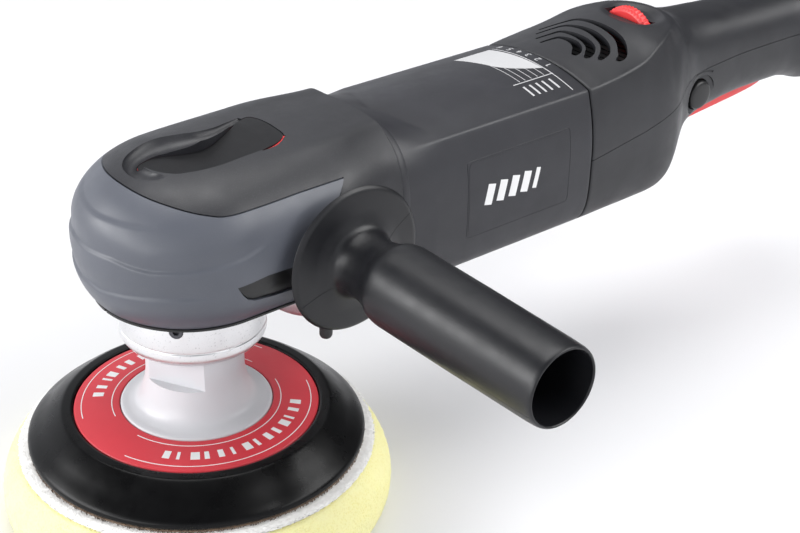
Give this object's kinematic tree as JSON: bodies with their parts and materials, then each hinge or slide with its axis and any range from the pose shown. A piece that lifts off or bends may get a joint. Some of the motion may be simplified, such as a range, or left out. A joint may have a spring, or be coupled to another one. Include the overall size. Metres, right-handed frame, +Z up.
{
  "type": "dual action polisher",
  "caption": "Dual action car polisher: geared head with soft bumper, long motor body, screwed side handle, rear grip with trigger, and an orbiting backing plate with foam pad.",
  "frame": {"origin": "where the spindle's axis meets the pad's flat working face", "axes": "+Z up along the spindle, +X from the head to the rear grip, the side handle points to -Y"},
  "size_m": [0.5009, 0.2616, 0.1725],
  "materials": {
    "grained_black": "matte",
    "handle_black": "matte",
    "body_grey": "satin",
    "bumper_grey": "satin",
    "trim_black": "satin",
    "badge_grey": "satin",
    "cast_aluminium": "matte",
    "bright_aluminium": "satin",
    "dark_steel": "satin",
    "bright_steel": "satin",
    "copper": "satin",
    "brass": "satin",
    "carbon": "matte",
    "board_green": "matte",
    "red_plastic": "satin",
    "light_grey": "satin",
    "red_ring": "satin",
    "plate_rubber": "satin",
    "hook_bristle": "matte",
    "loop_white": "matte",
    "foam_yellow": "matte"
  },
  "bodies": {
    "housing": {"head_cover": "grained_black", "head_bumper": "bumper_grey", "vent_insert_right": "trim_black", "vent_insert_left": "trim_black", "gear_housing": "cast_aluminium", "head_seal": "trim_black", "spindle_collar": "bright_aluminium", "collar_set_screw": "dark_steel", "spindle_bearing_lower": "bright_steel", "spindle_bearing_upper": "bright_steel", "armature_bearing_front": "bright_steel", "armature_bearing_rear": "bright_steel", "motor_housing": "body_grey", "badge_right": "badge_grey", "badge_left": "badge_grey", "head_screw_1": "dark_steel", "head_screw_2": "dark_steel", "head_screw_3": "dark_steel", "head_screw_4": "dark_steel", "stator_core": "dark_steel", "field_coil_upper": "copper", "field_coil_lower": "copper", "brush_right": "carbon", "brush_holder_right": "brass", "brush_left": "carbon", "brush_holder_left": "brass", "bearing_bracket": "trim_black", "rear_shell_upper": "grained_black", "rear_shell_lower": "grained_black", "shell_screw_1": "dark_steel", "shell_screw_2": "dark_steel", "shell_screw_3": "dark_steel", "cord_gland": "trim_black", "speed_control_board": "board_green", "switch_block": "trim_black", "side_handle": "handle_black", "handle_stud": "bright_steel", "lock_spring": "bright_steel"},
    "armature": {"armature_shaft": "bright_steel", "armature_core": "dark_steel", "commutator": "copper", "cooling_fan": "trim_black", "pinion": "bright_steel"},
    "spindle": {"spindle_shaft": "bright_steel", "crown_gear": "bright_steel", "eccentric_counterweight": "bright_steel", "pad_bearing": "bright_steel"},
    "pad": {"pad_arbor": "bright_steel", "pad_hub": "light_grey", "pad_ring": "red_ring", "backing_plate": "plate_rubber", "pad_bolt": "dark_steel", "hook_layer": "hook_bristle", "loop_layer": "loop_white", "foam_pad": "foam_yellow"},
    "trigger": {"trigger": "red_plastic"},
    "lock_button": {"lock_button": "trim_black"},
    "speed_dial": {"speed_dial": "red_plastic"},
    "lock_tongue": {"lock_tongue": "grained_black"},
    "lock_pin": {"lock_pin": "red_plastic"}
  },
  "joints": [
    {"name": "spindle_spin", "type": "hinge", "parent": "housing", "child": "spindle", "pos_m": [0, 0, 0.1], "axis": [0, 0, 1], "continuous": true},
    {"name": "armature_spin", "type": "hinge", "parent": "housing", "child": "armature", "pos_m": [0.1, 0, 0.126], "axis": [1, 0, 0], "continuous": true},
    {"name": "pad_spin", "type": "hinge", "parent": "spindle", "child": "pad", "pos_m": [-0.00386, -0.00643, 0.08], "axis": [0, 0, 1], "continuous": true},
    {"name": "trigger_squeeze", "type": "hinge", "parent": "housing", "child": "trigger", "pos_m": [0.37, 0, 0.118], "axis": [0, 1, 0], "range_deg": [0, 3.5], "stiffness_Nm_per_rad": 12, "springref_deg": -1.72},
    {"name": "lock_button_push", "type": "slide", "parent": "housing", "child": "lock_button", "axis": [0, 1, 0], "range_m": [0, 0.003], "stiffness_N_per_m": 800, "springref_m": -0.001},
    {"name": "speed_dial_turn", "type": "hinge", "parent": "housing", "child": "speed_dial", "pos_m": [0.266, 0, 0.1555], "axis": [1, 0, 0], "range_deg": [-135, 135]},
    {"name": "lock_tongue_press", "type": "hinge", "parent": "housing", "child": "lock_tongue", "pos_m": [0.038, 0, 0.1658], "axis": [0, -1, 0], "range_deg": [0, 3.5], "stiffness_Nm_per_rad": 4, "springref_deg": -2.86},
    {"name": "lock_pin_slide", "type": "slide", "parent": "housing", "child": "lock_pin", "axis": [0, 0, -1], "range_m": [0, 0.0035], "deforming": ["lock_spring"]}
  ],
  "couplings": [
    {"joint": "armature_spin", "follows": "spindle_spin", "ratio": 3},
    {"joint": "lock_pin_slide", "follows": "lock_tongue_press", "m_per_rad": 0.0555}
  ]
}
